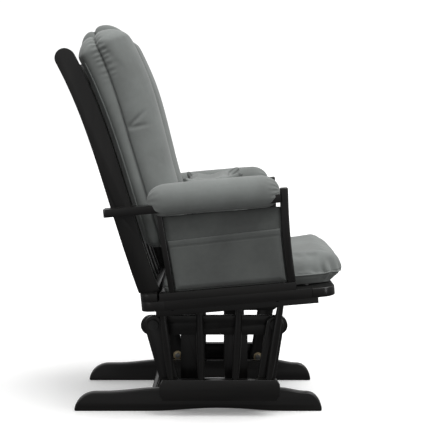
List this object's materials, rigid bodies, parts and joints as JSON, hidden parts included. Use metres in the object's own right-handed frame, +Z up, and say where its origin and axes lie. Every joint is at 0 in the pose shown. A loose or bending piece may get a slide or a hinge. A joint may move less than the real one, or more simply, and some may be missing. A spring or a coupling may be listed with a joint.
{
  "type": "glider nursery chair",
  "caption": "Gliding nursery armchair: slatted back and padded cushions on a wooden seat frame that swings on links over a fixed runner base.",
  "frame": {"origin": "on the floor, under the middle of the chair's bounding box, at rest", "axes": "+Z up; the chair faces -Y; +X is the sitter's left"},
  "size_m": [0.65, 0.7324, 1.0355],
  "materials": {
    "black_lacquer": "hardwood in black satin lacquer",
    "grey_suede": "brushed grey faux suede over foam",
    "shaded_suede": "flat grey faux suede panel",
    "zinc_plate": "zinc-plated steel",
    "brass_bush": "turned brass",
    "black_cap": "moulded black plastic",
    "black_steel": "black oxide steel"
  },
  "bodies": {
    "base": {"runner_left": "black_lacquer", "runner_right": "black_lacquer", "base_dowels": "black_lacquer", "front_upright_left": "black_lacquer", "front_upright_right": "black_lacquer", "rear_upright_left": "black_lacquer", "rear_upright_right": "black_lacquer", "base_cross_boards": "black_lacquer", "top_rail_left": "black_lacquer", "top_rail_right": "black_lacquer", "top_rail_screws": "zinc_plate", "upper_pivot_bolts": "zinc_plate", "pivot_caps": "black_cap"},
    "front_swing_arms": {"front_swing_arm_left": "black_lacquer", "front_swing_arm_right": "black_lacquer", "front_arm_bushes": "brass_bush"},
    "rear_swing_arms": {"rear_swing_arm_left": "black_lacquer", "rear_swing_arm_right": "black_lacquer", "rear_arm_bushes": "brass_bush", "rear_lower_bolts": "zinc_plate"},
    "seat": {"lower_rail_left": "black_lacquer", "lower_rail_right": "black_lacquer", "front_lower_bolts": "zinc_plate", "spindles_left": "black_lacquer", "spindles_right": "black_lacquer", "side_apron_left": "black_lacquer", "side_apron_right": "black_lacquer", "front_apron": "black_lacquer", "rear_apron": "black_lacquer", "deck_side_left": "black_lacquer", "deck_side_right": "black_lacquer", "deck_front_board": "black_lacquer", "deck_rear_board": "black_lacquer", "seat_slats": "black_lacquer", "back_foot_rail": "black_lacquer", "back_post_left": "black_lacquer", "back_post_right": "black_lacquer", "crest_rail": "black_lacquer", "back_slats": "black_lacquer", "arm_rail_left": "black_lacquer", "arm_rail_right": "black_lacquer", "front_arm_post_left": "black_lacquer", "front_arm_post_right": "black_lacquer", "rear_arm_post_left": "black_lacquer", "rear_arm_post_right": "black_lacquer", "arm_board_left": "black_lacquer", "arm_board_right": "black_lacquer", "frame_bolts": "black_steel", "arm_pad_left": "grey_suede", "arm_pad_right": "grey_suede", "side_panel_left": "shaded_suede", "side_panel_right": "shaded_suede", "side_pocket_left": "shaded_suede", "side_pocket_right": "shaded_suede", "seat_cushion": "grey_suede", "back_cushion": "grey_suede", "lumbar_pillow": "grey_suede"}
  },
  "joints": [
    {"name": "glide", "type": "hinge", "parent": "base", "child": "front_swing_arms", "pos_m": [0, -0.1895, 0.23673], "axis": [-1, 0, 0], "range_deg": [-16, 12]},
    {"name": "rear_arm_swing", "type": "hinge", "parent": "base", "child": "rear_swing_arms", "pos_m": [0, 0.1265, 0.23673], "axis": [-1, 0, 0], "range_deg": [-16.4, 12.4]},
    {"name": "seat_pivot", "type": "hinge", "parent": "front_swing_arms", "child": "seat", "pos_m": [0, -0.16257, 0.0628], "axis": [-1, 0, 0], "range_deg": [-15.8, 21]}
  ],
  "couplings": [
    {"joint": "rear_arm_swing", "follows": "glide", "ratio": 1.0155},
    {"joint": "seat_pivot", "follows": "glide", "ratio": -1.309}
  ]
}
